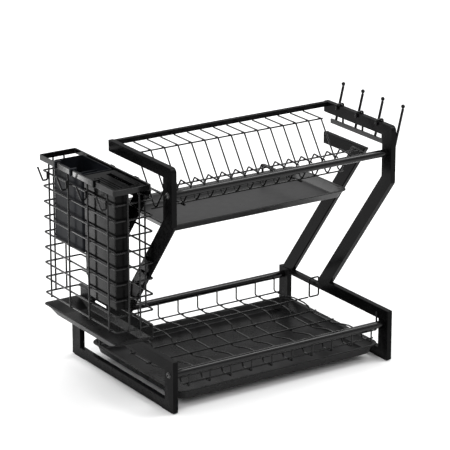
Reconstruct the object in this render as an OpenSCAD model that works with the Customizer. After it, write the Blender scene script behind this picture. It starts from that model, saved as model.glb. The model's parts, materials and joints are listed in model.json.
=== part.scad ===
// Two-tier dish drying rack: two Z-shaped side frames joined by four rails, a plate rack above
// and a bowl rack below, three drip trays, a hanging utensil basket and a hanging cup holder.
// X runs to the right, Y to the back and Z up. Working coordinates have X = 0 midway between the
// side frames, Y = 0 at their front faces and Z = 0 on the counter.

/* [Frame] */
// Width over the two side frames
rack_w = 420; // [400:1:460]
// Depth of the lower tier
rack_d = 312; // [306:1:330]
// Height of the side frames
rack_h = 398; // [390:1:410]
// Depth of the upper tier
upper_d = 186; // [180:1:200]
// Thickness of a side frame, seen from the front
tube_t = 9; // [8:0.5:9]
// Width of a post, seen from the side
post_w = 25; // [22:1:28]
// Height of the lower loop at its front
loop_h = 86; // [80:1:90]
// Height at which the front post bends into the diagonal
bend_z = 304; // [298:1:308]
// Horizontal run of a diagonal for each millimetre of drop
diagonal_run = 0.7536; // [0.7:0.01:0.8]

/* [Rails] */
// Diameter of the three round rails
rail_dia = 12; // [10:0.5:13]
// Side of the square upper back rail
back_rail_side = 8; // [6:0.5:10]
// Height of the upper front rail's axis
upper_rail_z = 353; // [348:1:358]
// Height of the two lower rails' axes
lower_rail_z = 62; // [58:1:64]

/* [Wire racks] */
// Number of cross wires in the plate rack
plate_wire_count = 15; // [10:1:16]
// Distance between plate wires
plate_pitch = 24.8; // [20:0.1:26]
// Number of cross wires in the bowl rack
bowl_wire_count = 10; // [6:1:10]
// Distance between bowl wires
bowl_pitch = 38.9; // [30:0.1:40]
// Diameter of a rack wire
rack_wire = 2.6; // [2:0.1:3]

/* [Drip trays] */
// Length of the upper tray
upper_tray_w = 338; // [300:1:360]
// Length of the lower tray
lower_tray_w = 392; // [340:1:394]
// Sheet thickness of the trays
tray_sheet = 1.2; // [1:0.1:1.5]

/* [Utensil basket] */
// Height of the basket's base ring
cage_base_z = 133; // [128:1:140]
// Distance between basket rings
ring_pitch = 25.5; // [24:0.5:26]
// Number of basket rings
ring_count = 9; // [6:1:9]
// Diameter of a basket wire
cage_wire = 3; // [2.5:0.1:3.5]

/* [Cup holder] */
// Number of cup prongs
prong_count = 4; // [2:1:4]
// Distance between cup prongs
prong_pitch = 54; // [48:1:56]
// Diameter of a cup prong
prong_dia = 4.4; // [4:0.1:5]

/* [Hidden] */

STEEL = "#1b1b1c";
WIRE = "#232325";
TRAY = "#3a3a3b";
RUBBER = "#101011";
CUP = "#2f3440";
BLOCK = "#6b6b6c";
round_fn = 48;
gap = 0.1;              // hairline between welded wires, so that each stays its own solid

// Side frames
pad_h = 1.5;
half_w = rack_w / 2;
inner_w = rack_w - 2 * tube_t;
bottom_rail_h = 17;
top_rail_h = 19;
back_bar_h = 8;
back_bar_top = 75;
band_h = 18.5;
corner_r = 8;
diagonal_w = 30;        // a diagonal's width, measured level
back_diagonal_y = 101;  // how far the back diagonal stands behind the front one
shelf_top = 345;        // top of the level member that the basket hangs on
shelf_h = 20;
cap_t = 3;

function diagonal_y(z) = (bend_z - z) * diagonal_run;

// Rails and screws
front_rail_y = 12;
lower_back_y = rack_d - front_rail_y;
back_rail_y = upper_d - 6;
back_rail_z = rack_h - back_rail_side / 2;
screw_dia = 5.6;
screw_hole = 6;
screw_head_dia = 10;
screw_head_h = 2.6;
screw_reach = 12;       // how far a screw goes into a rail
rail_ends = [[front_rail_y, upper_rail_z], [front_rail_y, lower_rail_z], [lower_back_y, lower_rail_z]];

// Plate rack
wire_r = rack_wire / 2;
plate_floor_z = 316;
plate_row_x = -18.5;    // the plate rack sits towards the basket
plate_back_y = 79;
plate_front_y = 72.5;
tooth_y = 42;
tooth_z = 363;
shoulder_y = 129;
shoulder_z = back_rail_z - back_rail_side / 2 - wire_r - gap;
plate_path = [
    [back_rail_y, shoulder_z], [shoulder_y, shoulder_z], [plate_back_y, plate_floor_z],
    [plate_front_y, plate_floor_z], [tooth_y, tooth_z],
    [front_rail_y, upper_rail_z + rail_dia / 2 + wire_r + gap]
];

// Bowl rack
bowl_row_x = 2.4;
bowl_floor_z = 34;
front_drop = [36, lower_rail_z - rail_dia / 2 - gap];  // foot and top of a front drop
back_drop_y = lower_back_y - rail_dia / 2 - wire_r - gap;
front_arch_y = 36;
back_arch_y = 184;
front_arch_scale = 0.83;    // the front row of arches is shorter than the back row
arch = [[0, 0], [5, 7], [19, 10], [48, 9.5], [70, 6], [84, 3]];
function arch_at(y, k) = [for (p = arch) [y + k * p[0], bowl_floor_z + p[1]]];
bowl_path = concat(
    [[front_rail_y, front_drop[1]], [front_rail_y, front_drop[0]]],
    arch_at(front_arch_y, front_arch_scale), [[120, bowl_floor_z]],
    arch_at(back_arch_y, 1),
    [[back_drop_y, 38], [back_drop_y, lower_rail_z]]
);
loop_y = [28, 214];         // the bowl rack's two end bars
loop_top = back_bar_top + 5;
stub_top = 78;
loop_low = 46.7;
loop_out = 5;
loop_wire = 3;

// Drip trays
tray_corner_r = 14;
rim_flat = 5;
upper_tray_x = -31;     // the upper tray sits towards the basket
upper_tray_y = [25, 180];
upper_tray_z = [285, 299];
lower_tray_y = [9, 283];
lower_tray_z = [12, 29.3];
tray_foot_dia = 16;
runner_wire = 4;
runner_spread = 110;
tray_lean = [5, 5];
slit = 0.2;             // how far a cutting block reaches past the rim that it opens

// Utensil basket
cage_r = cage_wire / 2;
cage_x = [-68.5, -2.5];     // ring wire axes, measured from the left frame's outer face
cage_y = [51.5, 274];
rim_x = -6;                 // the rim's edge next to the frame
base_x = -8;                // the base ring is narrower, so the side tray's flange fits beside it
upright_y = [69, 129, 189, 249];
upright_x = [-48, -28];
rim_z = [354, 363];
rim_t = 2.6;
left_face = -half_w;
top_ring_z = cage_base_z + (ring_count - 1) * ring_pitch;
outer_upright_x = left_face + cage_x[0] - cage_wire - gap;
inner_upright_x = left_face + cage_x[1] - cage_wire - gap;
hook_reach = 20;
hook_rise = 24;
hook_low_z = top_ring_z - 8;
hook_lean = 0.35;       // how far a hook's tip leans out for each millimetre it rises
hanger_y = [92, 164];
hanger_w = 12;
hanger_t = 2;
hanger_lip = 6;
hanger_gap = 3.4;       // room behind the shelf member, so that the lip comes away as the basket lifts

// Cutlery cup, knife block and side tray
wall = 2;
cup_y = [155, 247];
cup_floor_z = 233;
block_y = [56, 150];
block_low_z = 168;
holder_x = [-65, -11];
holder_top = 360;
block_t = 22;
clip_w = 4;
side_tray_y = [44, 276];
side_tray_x = [-73, -3];
side_tray_z = [102, 115];
side_tray_r = 8;
side_tray_lean = [3, 30];     // the two ends slope much more than the sides

// Cup holder
right_face = half_w;
prong_mid_y = upper_d / 2;
prong_lean = 0.245;         // how far a prong leans out for each millimetre it rises
prong_top_x = 21.5;
prong_top_z = 421;
prong_r = prong_dia / 2;
tip_r = 3.2;
holder_clear = 0.4;
bar_z = [359.5, 367];       // the bar passes above the frame's screw head
hook_wire = 3.6;
hook_lip = 7;
prong_foot_x = prong_top_x - prong_lean * (prong_top_z - bar_z[0]);
strip_t = prong_foot_x - prong_r / cos(atan(prong_lean)) - gap - holder_clear;

// The row's origin is the middle of the whole object's box, on the counter
box_left = outer_upright_x - hook_reach - cage_r * cos(atan(hook_lean));
box_right = right_face + prong_top_x + tip_r;
box_shift = (box_left + box_right) / 2;

module place() {
    translate([-box_shift, -rack_d / 2, 0]) children();
}

// ---- vector helpers ----
function unit(v) = v / norm(v);

// A corner of a path, rounded to radius r by steps + 1 points
function corner(a, b, c, r, steps) =
    let (u = unit(a - b), v = unit(c - b), half = acos(u * v) / 2)
    let (cut = r / tan(half), mid = unit(u + v), centre = b + mid * (r / sin(half)))
    let (s = b + u * cut - centre, e = b + v * cut - centre, sweep = 180 - 2 * half)
    [for (i = [0:steps])
        centre + (s * sin(sweep * (steps - i) / steps) + e * sin(sweep * i / steps)) / sin(sweep)];

// An open path with its inner corners rounded
function rounded(p, r, steps = 3) = concat(
    [p[0]],
    [for (i = [1:len(p) - 2]) each corner(p[i - 1], p[i], p[i + 1], r, steps)],
    [p[len(p) - 1]]
);

// A closed path with every corner rounded
function rounded_loop(p, r, steps = 3) =
    let (n = len(p))
    [for (i = [0:n - 1]) each corner(p[(i + n - 1) % n], p[i], p[(i + 1) % n], r, steps)];

// A round wire swept along a flat path; n is the normal of the plane that the path lies in
module wire(path, r, n, closed = false, sides = 8) {
    count = len(path);
    function at(i) = path[(i + count) % count];
    function tangent(i) =
        let (back = (closed || i > 0) ? unit(at(i) - at(i - 1)) : [0, 0, 0])
        let (ahead = (closed || i < count - 1) ? unit(at(i + 1) - at(i)) : [0, 0, 0])
        unit(back + ahead);
    points = [
        for (i = [0:count - 1])
            let (side = cross(tangent(i), n))
            for (k = [0:sides - 1])
                path[i] + r * (cos(360 * k / sides) * side + sin(360 * k / sides) * n)
    ];
    last = closed ? count - 1 : count - 2;
    walls = [
        for (i = [0:last])
            let (a = i * sides, b = ((i + 1) % count) * sides)
            for (k = [0:sides - 1])
                let (m = (k + 1) % sides)
                each [[a + k, b + k, b + m], [a + k, b + m, a + m]]
    ];
    ends = closed ? [] : [
        [for (k = [0:sides - 1]) k],
        [for (k = [sides - 1:-1:0]) (count - 1) * sides + k]
    ];
    polyhedron(points = points, faces = concat(walls, ends), convexity = 6);
}

// ---- side frames, drawn in the Y-Z plane ----
module upright_sheet(t) {
    rotate([90, 0, 90]) linear_extrude(t) children();
}

module on_side(side) {
    translate([side < 0 ? -half_w : half_w - tube_t, 0, 0]) children();
}

module screw_bores(ends) {
    for (p = ends)
        translate([-1, p[0], p[1]]) rotate([0, 90, 0]) cylinder(d = screw_hole, h = tube_t + 2, $fn = round_fn);
}

module lower_loop_shape() {
    difference() {
        translate([0, pad_h]) square([rack_d, loop_h - pad_h]);
        translate([post_w, bottom_rail_h])
            square([rack_d - 2 * post_w, loop_h - top_rail_h - bottom_rail_h]);
        translate([diagonal_y(loop_h) + diagonal_w, back_bar_top])
            square([rack_d, loop_h]);
    }
}

module lower_loop(side) {
    color(STEEL) place() on_side(side) difference() {
        upright_sheet(tube_t) lower_loop_shape();
        screw_bores([rail_ends[1], rail_ends[2]]);
    }
}

module front_tube_shape() {
    foot = diagonal_y(loop_h);
    inner_bend = bend_z + (diagonal_w - post_w) / diagonal_run;
    difference() {
        polygon([
            [0, bend_z], [foot, loop_h], [foot + diagonal_w, loop_h], [post_w, inner_bend],
            [post_w, rack_h - band_h], [upper_d - cap_t, rack_h - band_h],
            [upper_d - cap_t, rack_h], [0, rack_h]
        ]);
        translate([-1, rack_h - corner_r]) difference() {
            square(corner_r + 1);
            translate([corner_r + 1, 0]) circle(r = corner_r, $fn = round_fn);
            translate([corner_r + 1, -1]) square(corner_r + 3);
        }
    }
}

module front_tube(side) {
    color(STEEL) place() on_side(side) difference() {
        upright_sheet(tube_t) front_tube_shape();
        screw_bores([rail_ends[0]]);
    }
}

module back_tube_shape() {
    front_edge = diagonal_y(shelf_top) + back_diagonal_y;
    foot = diagonal_y(back_bar_top) + back_diagonal_y;
    back_edge = diagonal_y(shelf_top - shelf_h) + back_diagonal_y + diagonal_w;
    polygon([
        [front_edge, shelf_top], [foot, back_bar_top], [foot + diagonal_w, back_bar_top],
        [back_edge, shelf_top - shelf_h], [upper_d - cap_t, shelf_top - shelf_h],
        [upper_d - cap_t, shelf_top]
    ]);
}

module back_tube(side) {
    color(STEEL) place() on_side(side) upright_sheet(tube_t) back_tube_shape();
}

module tube_end_caps() {
    color(RUBBER) place() for (side = [-1, 1]) on_side(side) {
        translate([0, upper_d - cap_t, rack_h - band_h]) cube([tube_t, cap_t, band_h]);
        translate([0, upper_d - cap_t, shelf_top - shelf_h]) cube([tube_t, cap_t, shelf_h]);
    }
}

module foot_pads() {
    pad_l = 30;
    pad_inset = 6;
    color(RUBBER) place() for (side = [-1, 1], y = [pad_inset, rack_d - pad_inset - pad_l])
        on_side(side) translate([0.5, y, 0]) cube([tube_t - 1, pad_l, pad_h]);
}

module frame_screws() {
    color(STEEL) place() for (side = [-1, 1], p = rail_ends)
        translate([side * half_w, p[0], p[1]]) rotate([0, side * 90, 0]) {
            cylinder(d = screw_head_dia, h = screw_head_h / 2, $fn = round_fn);
            translate([0, 0, screw_head_h / 2])
                cylinder(d1 = screw_head_dia, d2 = screw_head_dia - 2.5, h = screw_head_h / 2, $fn = round_fn);
            translate([0, 0, -tube_t - screw_reach])
                cylinder(d = screw_dia, h = tube_t + screw_reach + 0.5, $fn = round_fn);
        }
}

// ---- rails ----
module rail_bores() {
    for (side = [-1, 1])
        translate([side * inner_w / 2, 0, 0]) rotate([0, 90, 0])
            cylinder(d = screw_hole, h = 2 * screw_reach + 2, center = true, $fn = round_fn);
}

module round_rail(y, z) {
    color(STEEL) place() translate([0, y, z]) difference() {
        rotate([0, 90, 0]) cylinder(d = rail_dia, h = inner_w, center = true, $fn = round_fn);
        rail_bores();
    }
}

module upper_front_rail() {
    round_rail(front_rail_y, upper_rail_z);
}

module lower_front_rail() {
    round_rail(front_rail_y, lower_rail_z);
}

module lower_back_rail() {
    round_rail(lower_back_y, lower_rail_z);
}

module upper_back_rail() {
    color(STEEL) place() translate([0, back_rail_y, back_rail_z])
        cube([inner_w - 2 * gap, back_rail_side, back_rail_side], center = true);
}

// ---- wire racks ----
function row(count, pitch) = [for (i = [0:count - 1]) (i - (count - 1) / 2) * pitch];

module cross_wires(count, pitch, path, bend_r, steps) {
    smooth = rounded([for (p = path) [0, p[0], p[1]]], bend_r, steps);
    for (x = row(count, pitch))
        translate([x, 0, 0]) wire(smooth, wire_r, [1, 0, 0], sides = 6);
}

module long_wires(length, places) {
    for (p = places)
        translate([0, p[0], p[1]]) rotate([0, 90, 0])
            cylinder(d = rack_wire, h = length, center = true, $fn = 24);
}

module plate_wires() {
    color(WIRE) place() translate([plate_row_x, 0, 0])
        cross_wires(plate_wire_count, plate_pitch, plate_path, 2.5, 3);
}

module plate_long_wires() {
    length = (plate_wire_count - 1) * plate_pitch + 16;
    under = rack_wire + gap;
    color(WIRE) place() translate([plate_row_x, 0, 0]) long_wires(length, [
        [shoulder_y + 6, shoulder_z - under], [(plate_back_y + plate_front_y) / 2, plate_floor_z - under],
        [tooth_y - 8, tooth_z - under - 1]
    ]);
}

module bowl_wires() {
    color(WIRE) place() translate([bowl_row_x, 0, 0])
        cross_wires(bowl_wire_count, bowl_pitch, bowl_path, 2.2, 1);
}

module bowl_long_wires() {
    reach = (bowl_wire_count - 1) * bowl_pitch + 16;
    above = rack_wire + gap;
    color(WIRE) place() {
        translate([bowl_row_x, 0, 0]) long_wires(reach, [
            [front_rail_y + 6, front_drop[0] + above], [128, bowl_floor_z + above],
            [back_arch_y - 6, bowl_floor_z + above], [back_drop_y - 16, 38.5 + above]
        ]);
        long_wires(inner_w - 2 * loop_out - loop_wire - 1, [for (y = loop_y) [y, loop_low]]);
    }
}

// The bowl rack's ends: at the back a closed wire loop goes round each side frame's lower member,
// at the front a short wire turns up against each post
module bowl_rack_loops() {
    r = loop_wire / 2;
    stub_x = inner_w / 2 - r - gap;
    color(WIRE) place() for (side = [-1, 1]) {
        x0 = side * (inner_w / 2 - loop_out);
        x1 = side * (half_w + loop_out);
        y = loop_y[1];
        hoop = [[x0, y, loop_low], [x1, y, loop_low], [x1, y, loop_top], [x0, y, loop_top]];
        wire(rounded_loop(hoop, 3, 2), r, [0, 1, 0], closed = true);
        turn = [
            [side * (stub_x - 5), loop_y[0], loop_low], [side * stub_x, loop_y[0], loop_low],
            [side * stub_x, loop_y[0], stub_top]
        ];
        wire(rounded(turn, 3, 2), r, [0, 1, 0]);
    }
}

// ---- drip trays ----
module rounded_plate(x, y, r) {
    // x and y are [low, high] pairs
    for (a = [x[0] + r, x[1] - r], b = [y[0] + r, y[1] - r])
        translate([a, b]) circle(r = r, $fn = round_fn);
    translate([x[0] + r, y[0]]) square([x[1] - x[0] - 2 * r, y[1] - y[0]]);
    translate([x[0], y[0] + r]) square([x[1] - x[0], y[1] - y[0] - 2 * r]);
}

// A block whose sides lean out by run = [along X, along Y] from its bottom to its top
module leaning_block(x, y, z, r, run) {
    slab = 0.1;
    hull() {
        translate([0, 0, z[0]]) linear_extrude(slab)
            rounded_plate(x + run[0] * [1, -1], y + run[1] * [1, -1], r);
        translate([0, 0, z[1] - slab]) linear_extrude(slab) rounded_plate(x, y, r);
    }
}

// A shallow pan with a flat rim round its mouth; w is the rim's width and run the walls' lean
module pan(x, y, z, r, w, run) {
    body = w * [1, -1];
    hollow = (w + tray_sheet) * [1, -1];
    difference() {
        union() {
            leaning_block(x + body, y + body, z, r - w, run);
            translate([0, 0, z[1] - tray_sheet]) linear_extrude(tray_sheet) rounded_plate(x, y, r);
        }
        leaning_block(x + hollow, y + hollow, [z[0] + tray_sheet, z[1] + slit], r - w - tray_sheet, run);
    }
}

module upper_drip_tray() {
    x = [upper_tray_x - upper_tray_w / 2, upper_tray_x + upper_tray_w / 2];
    color(TRAY) place() pan(x, upper_tray_y, upper_tray_z, tray_corner_r, rim_flat, tray_lean);
}

module lower_drip_tray() {
    x = [-lower_tray_w / 2, lower_tray_w / 2];
    foot_in = 50;
    color(TRAY) place() {
        pan(x, lower_tray_y, lower_tray_z, tray_corner_r + 6, rim_flat, tray_lean);
        for (a = [x[0] + foot_in, x[1] - foot_in], b = [lower_tray_y[0] + foot_in, lower_tray_y[1] - foot_in])
            translate([a, b, 0]) cylinder(d = tray_foot_dia, h = lower_tray_z[0], $fn = round_fn);
    }
}

module tray_runners() {
    r = runner_wire / 2;
    top = plate_floor_z - 1.5 * rack_wire - 2 * gap - r;
    under = upper_tray_z[0] - gap - r;
    behind = upper_tray_y[1] + r + 2;
    path = rounded([
        [0, plate_front_y, top], [0, behind, top], [0, behind, under], [0, upper_tray_y[0] + 24, under]
    ], 5, 4);
    color(WIRE) place() for (side = [-1, 1])
        translate([upper_tray_x + side * runner_spread, 0, 0]) wire(path, r, [1, 0, 0]);
}

// ---- utensil basket, X measured from the left frame's outer face ----
function basket_x(x) = left_face + x;

module basket_rings() {
    x0 = basket_x(cage_x[0]);
    color(WIRE) place() for (i = [0:ring_count - 1]) {
        z = cage_base_z + i * ring_pitch;
        x1 = basket_x(i == 0 ? base_x : cage_x[1]);
        square_loop = [[x0, cage_y[0], z], [x1, cage_y[0], z], [x1, cage_y[1], z], [x0, cage_y[1], z]];
        wire(rounded_loop(square_loop, 4), cage_r, [0, 0, 1], closed = true);
    }
}

module basket_rim() {
    x = [outer_upright_x - rim_t / 2, basket_x(rim_x)];
    y = [cage_y[0] - cage_wire - gap - rim_t / 2, cage_y[1] + cage_wire + gap + rim_t / 2];
    color(STEEL) place() translate([0, 0, rim_z[0]]) linear_extrude(rim_z[1] - rim_z[0])
        difference() {
            rounded_plate(x, y, 4);
            rounded_plate(x + [rim_t, -rim_t], y + [rim_t, -rim_t], 4 - rim_t);
        }
}

module basket_uprights() {
    low = cage_base_z - cage_r;
    length = rim_z[0] - low;
    inner_low = low + ring_pitch;
    inner_length = top_ring_z + cage_r - inner_low;
    color(WIRE) place() {
        for (y = upright_y) {
            translate([outer_upright_x, y, low]) cylinder(d = cage_wire, h = length, $fn = 24);
            translate([inner_upright_x, y, inner_low]) cylinder(d = cage_wire, h = inner_length, $fn = 24);
        }
        for (x = upright_x, y = [cage_y[0] - cage_wire - gap, cage_y[1] + cage_wire + gap])
            translate([basket_x(x), y, low]) cylinder(d = cage_wire, h = length, $fn = 24);
    }
}

module basket_hangers() {
    start = basket_x(rim_x);
    over = left_face + tube_t + hanger_gap;
    low_z = shelf_top + 0.3;
    color(STEEL) place() for (y = hanger_y) translate([start, y - hanger_w / 2, 0]) {
        translate([0, 0, low_z]) cube([hanger_t, hanger_w, rim_z[1] - low_z]);
        translate([0, 0, low_z]) cube([over + hanger_t - start, hanger_w, hanger_t]);
        translate([over - start, 0, low_z - hanger_lip]) cube([hanger_t, hanger_w, hanger_lip + hanger_t]);
    }
}

module basket_hooks() {
    start = outer_upright_x - cage_wire - gap;
    foot = start - 6;
    tip = outer_upright_x - hook_reach;
    path = rounded([
        [start, 0, top_ring_z + 6], [start, 0, hook_low_z], [foot - 2, 0, hook_low_z],
        [tip, 0, hook_low_z + hook_rise]
    ], 2.6, 4);
    color(WIRE) place() for (y = upright_y) translate([0, y, 0]) wire(path, cage_r, [0, 1, 0]);
}

// A clip over the basket's rim, at depth y, reaching in to x
module rim_clip(y) {
    inner = basket_x(holder_x[0]);
    outer = outer_upright_x - rim_t / 2 - 0.3;
    top = rim_z[1] + 0.3;
    translate([outer - wall, y - clip_w / 2, top]) cube([inner + wall - outer + wall, clip_w, wall]);
    translate([outer - wall, y - clip_w / 2, rim_z[0]]) cube([wall, clip_w, top + wall - rim_z[0]]);
    translate([inner, y - clip_w / 2, holder_top - 8]) cube([wall, clip_w, top + wall - holder_top + 8]);
}

module cutlery_cup() {
    x = [basket_x(holder_x[0]), basket_x(holder_x[1])];
    hollow = [wall, -wall];
    divider_y = 200;
    rib_h = 2.4;
    color(CUP) place() {
        difference() {
            union() {
                translate([0, 0, cup_floor_z]) linear_extrude(holder_top - cup_floor_z)
                    rounded_plate(x, cup_y, 5);
                for (i = [0:3])
                    translate([0, 0, cup_floor_z + 4 + i * ring_pitch]) linear_extrude(rib_h)
                        rounded_plate(x + [-0.8, 0.8], cup_y + [-0.8, 0.8], 5.8);
            }
            difference() {
                translate([0, 0, cup_floor_z + wall]) linear_extrude(holder_top)
                    rounded_plate(x + hollow, cup_y + hollow, 3);
                translate([x[0], divider_y - wall / 2, cup_floor_z])
                    cube([x[1] - x[0], wall, holder_top - 12 - cup_floor_z]);
            }
        }
        rim_clip(cup_y[0] + 22);
        rim_clip(cup_y[1] - 22);
    }
}

module knife_block() {
    x0 = basket_x(holder_x[0]);
    x1 = basket_x(holder_x[1]);
    top_t = 4;
    slot_w = 3;
    slot_x = [4, 9.5, 15];
    taper = 10;
    color(BLOCK) place() {
        difference() {
            union() {
                translate([x0, 0, 0]) upright_sheet(block_t) polygon([
                    [block_y[0], holder_top], [block_y[0], block_low_z], [block_y[1] - taper, block_low_z],
                    [block_y[1], block_low_z + 60], [block_y[1], holder_top]
                ]);
                translate([x0, block_y[0], holder_top - top_t])
                    cube([x1 - x0, block_y[1] - block_y[0], top_t]);
            }
            for (s = slot_x)
                translate([x0 + s, block_y[0] + 8, block_low_z + 4])
                    cube([slot_w, block_y[1] - block_y[0] - 30, holder_top]);
            translate([x0 + block_t + 10, block_y[0] + 12, holder_top - top_t - 1])
                cube([9, block_y[1] - block_y[0] - 24, top_t + 2]);
        }
        rim_clip(block_y[1] - 43);
    }
}

module side_drip_tray() {
    x = [basket_x(side_tray_x[0]), basket_x(side_tray_x[1])];
    plate_x = basket_x(base_x) + cage_r + 0.3;
    plate_y = side_tray_y + 4.5 * [1, -1];
    plate_top = cage_base_z + cage_r + 0.3;
    lip = 3;
    foot_z = side_tray_z[1] - tray_sheet;
    slot_y = [190, 245];
    slot_z = [117, 121.5];
    color(TRAY) place() {
        pan(x, side_tray_y, side_tray_z, side_tray_r, 3.5, side_tray_lean);
        difference() {
            translate([plate_x, plate_y[0], foot_z])
                cube([tray_sheet, plate_y[1] - plate_y[0], plate_top + tray_sheet - foot_z]);
            translate([plate_x - 1, slot_y[0], slot_z[0]])
                cube([tray_sheet + 2, slot_y[1] - slot_y[0], slot_z[1] - slot_z[0]]);
        }
        translate([plate_x - lip, plate_y[0], plate_top])
            cube([lip + tray_sheet, plate_y[1] - plate_y[0], tray_sheet]);
    }
}

// ---- cup holder, X measured from the right frame's outer face ----
function prong_row() = [for (y = row(prong_count, prong_pitch)) prong_mid_y + y];

module cup_holder_bar() {
    reach = (prong_count - 1) * prong_pitch + 12;
    color(WIRE) place() translate([right_face + holder_clear, prong_mid_y - reach / 2, bar_z[0]])
        cube([strip_t, reach, bar_z[1] - bar_z[0]]);
}

module cup_prongs() {
    path = [[right_face + prong_foot_x, 0, bar_z[0]], [right_face + prong_top_x, 0, prong_top_z]];
    color(WIRE) place() for (y = prong_row()) translate([0, y, 0]) wire(path, prong_r, [0, 1, 0]);
}

module prong_tips() {
    color(RUBBER) place() for (y = prong_row())
        translate([right_face + prong_top_x, y, prong_top_z + tip_r + gap]) sphere(r = tip_r, $fn = 32);
}

module cup_holder_hooks() {
    hook_y = [for (i = [0:prong_count - 2]) prong_mid_y + (i - (prong_count - 2) / 2) * prong_pitch];
    r = hook_wire / 2;
    top = rack_h + holder_clear + r;
    outer = right_face + holder_clear + r;
    inner = right_face - tube_t - holder_clear - r;
    path = rounded([
        [outer, 0, bar_z[1] + gap], [outer, 0, top], [inner, 0, top], [inner, 0, rack_h - hook_lip]
    ], 2.4, 3);
    color(WIRE) place() for (y = hook_y) translate([0, y, 0]) wire(path, r, [0, 1, 0]);
}

lower_loop(-1);  // left_lower_loop
lower_loop(1);  // right_lower_loop
front_tube(-1);  // left_front_tube
front_tube(1);  // right_front_tube
back_tube(-1);  // left_back_tube
back_tube(1);  // right_back_tube
tube_end_caps();
foot_pads();
frame_screws();
upper_front_rail();
upper_back_rail();
lower_front_rail();
lower_back_rail();
plate_wires();
plate_long_wires();
bowl_wires();
bowl_long_wires();
bowl_rack_loops();
tray_runners();
upper_drip_tray();
lower_drip_tray();
basket_rim();
basket_rings();
basket_uprights();
basket_hangers();
basket_hooks();
cutlery_cup();
knife_block();
side_drip_tray();
cup_holder_bar();
cup_prongs();
cup_holder_hooks();
prong_tips();
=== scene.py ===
"""Looks of the two-tier dish drying rack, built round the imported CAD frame."""
import json
import math
import bmesh
import bpy
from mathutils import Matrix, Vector


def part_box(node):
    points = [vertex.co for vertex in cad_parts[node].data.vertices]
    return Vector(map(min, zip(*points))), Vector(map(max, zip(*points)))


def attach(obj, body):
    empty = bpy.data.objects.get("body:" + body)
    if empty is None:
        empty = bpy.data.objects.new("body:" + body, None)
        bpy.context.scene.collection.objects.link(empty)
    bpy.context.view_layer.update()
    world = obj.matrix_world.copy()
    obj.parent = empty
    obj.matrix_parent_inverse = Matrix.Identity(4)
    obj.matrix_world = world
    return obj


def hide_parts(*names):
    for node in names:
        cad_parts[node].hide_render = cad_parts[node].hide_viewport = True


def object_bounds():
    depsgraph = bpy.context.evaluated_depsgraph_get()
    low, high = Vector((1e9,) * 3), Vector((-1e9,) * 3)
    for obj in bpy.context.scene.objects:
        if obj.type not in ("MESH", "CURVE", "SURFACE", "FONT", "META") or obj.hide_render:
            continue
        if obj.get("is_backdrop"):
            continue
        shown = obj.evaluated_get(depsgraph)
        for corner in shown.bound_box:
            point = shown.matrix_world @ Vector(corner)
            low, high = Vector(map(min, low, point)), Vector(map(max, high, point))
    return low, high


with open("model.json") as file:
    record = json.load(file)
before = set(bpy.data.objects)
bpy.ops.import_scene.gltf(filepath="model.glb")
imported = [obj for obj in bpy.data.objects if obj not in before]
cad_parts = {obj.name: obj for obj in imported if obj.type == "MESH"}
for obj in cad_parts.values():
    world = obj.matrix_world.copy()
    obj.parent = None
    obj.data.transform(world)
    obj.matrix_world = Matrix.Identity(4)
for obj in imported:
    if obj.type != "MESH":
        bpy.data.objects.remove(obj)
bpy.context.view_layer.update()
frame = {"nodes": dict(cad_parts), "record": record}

# Lengths and places are in millimetres, with X from the middle of the rack, Y from its front face and Z from
# the counter.
MM = 0.001
NODES = frame["nodes"]
BODY_OF = {node: body for body, nodes in frame["record"]["behaviour"]["bodies"].items() for node in nodes}
LEFT_LO, LEFT_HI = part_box("left_lower_loop")
RIGHT_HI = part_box("right_lower_loop")[1]
MID_X = (LEFT_LO.x + RIGHT_HI.x) / 2
FRONT_Y = LEFT_LO.y


def place(x, y, z):
    """A place in millimetres to a point in the shared frame, in metres."""
    return Vector((MID_X + x * MM, FRONT_Y + y * MM, z * MM))


def mm(metres):
    """A length of the frame in millimetres, to the nearest thousandth."""
    return round(metres / MM, 3)


def axis_of(rail):
    """Y and Z of a rail's axis."""
    lo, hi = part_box(rail)
    return mm((lo.y + hi.y) / 2 - FRONT_Y), mm((lo.z + hi.z) / 2)


def row(count, pitch):
    """Places of count things, pitch apart, on both sides of zero."""
    return [(i - (count - 1) / 2) * pitch for i in range(count)]


# ---- driving dimensions: the first ones come from the frame ----
HALF_W = mm((RIGHT_HI.x - LEFT_LO.x) / 2)
TUBE_T = mm(LEFT_HI.x - LEFT_LO.x)
INNER_HALF_W = HALF_W - TUBE_T
FRAME_TOP = mm(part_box("left_front_tube")[1].z)
UPPER_D = mm(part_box("tube_end_caps")[1].y - FRONT_Y)
RAIL_R = mm((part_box("lower_front_rail")[1].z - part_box("lower_front_rail")[0].z) / 2)
FRONT_RAIL_Y, UPPER_RAIL_Z = axis_of("upper_front_rail")
BACK_RAIL_Y = axis_of("upper_back_rail")[0]
LOWER_BACK_Y, LOWER_RAIL_Z = axis_of("lower_back_rail")
GAP = 0.1           # hairline between wires, which the weld beads bridge
WIRE_R = 1.3        # a rack wire
UNDER = 2 * WIRE_R + GAP    # from a wire's axis to the axis of one that crosses it
CAGE_R = 1.5        # a basket wire
CAGE_STEP = 2 * CAGE_R + GAP
SHEET = 1.2         # thickness of a tray


# ---------------------------------------------------------------- materials
def node_tree(name):
    mat = bpy.data.materials.new(name)
    mat.use_nodes = True
    nt = mat.node_tree
    nt.nodes.clear()
    out = nt.nodes.new("ShaderNodeOutputMaterial")
    bsdf = nt.nodes.new("ShaderNodeBsdfPrincipled")
    nt.links.new(bsdf.outputs["BSDF"], out.inputs["Surface"])
    return mat, nt, bsdf


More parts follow.
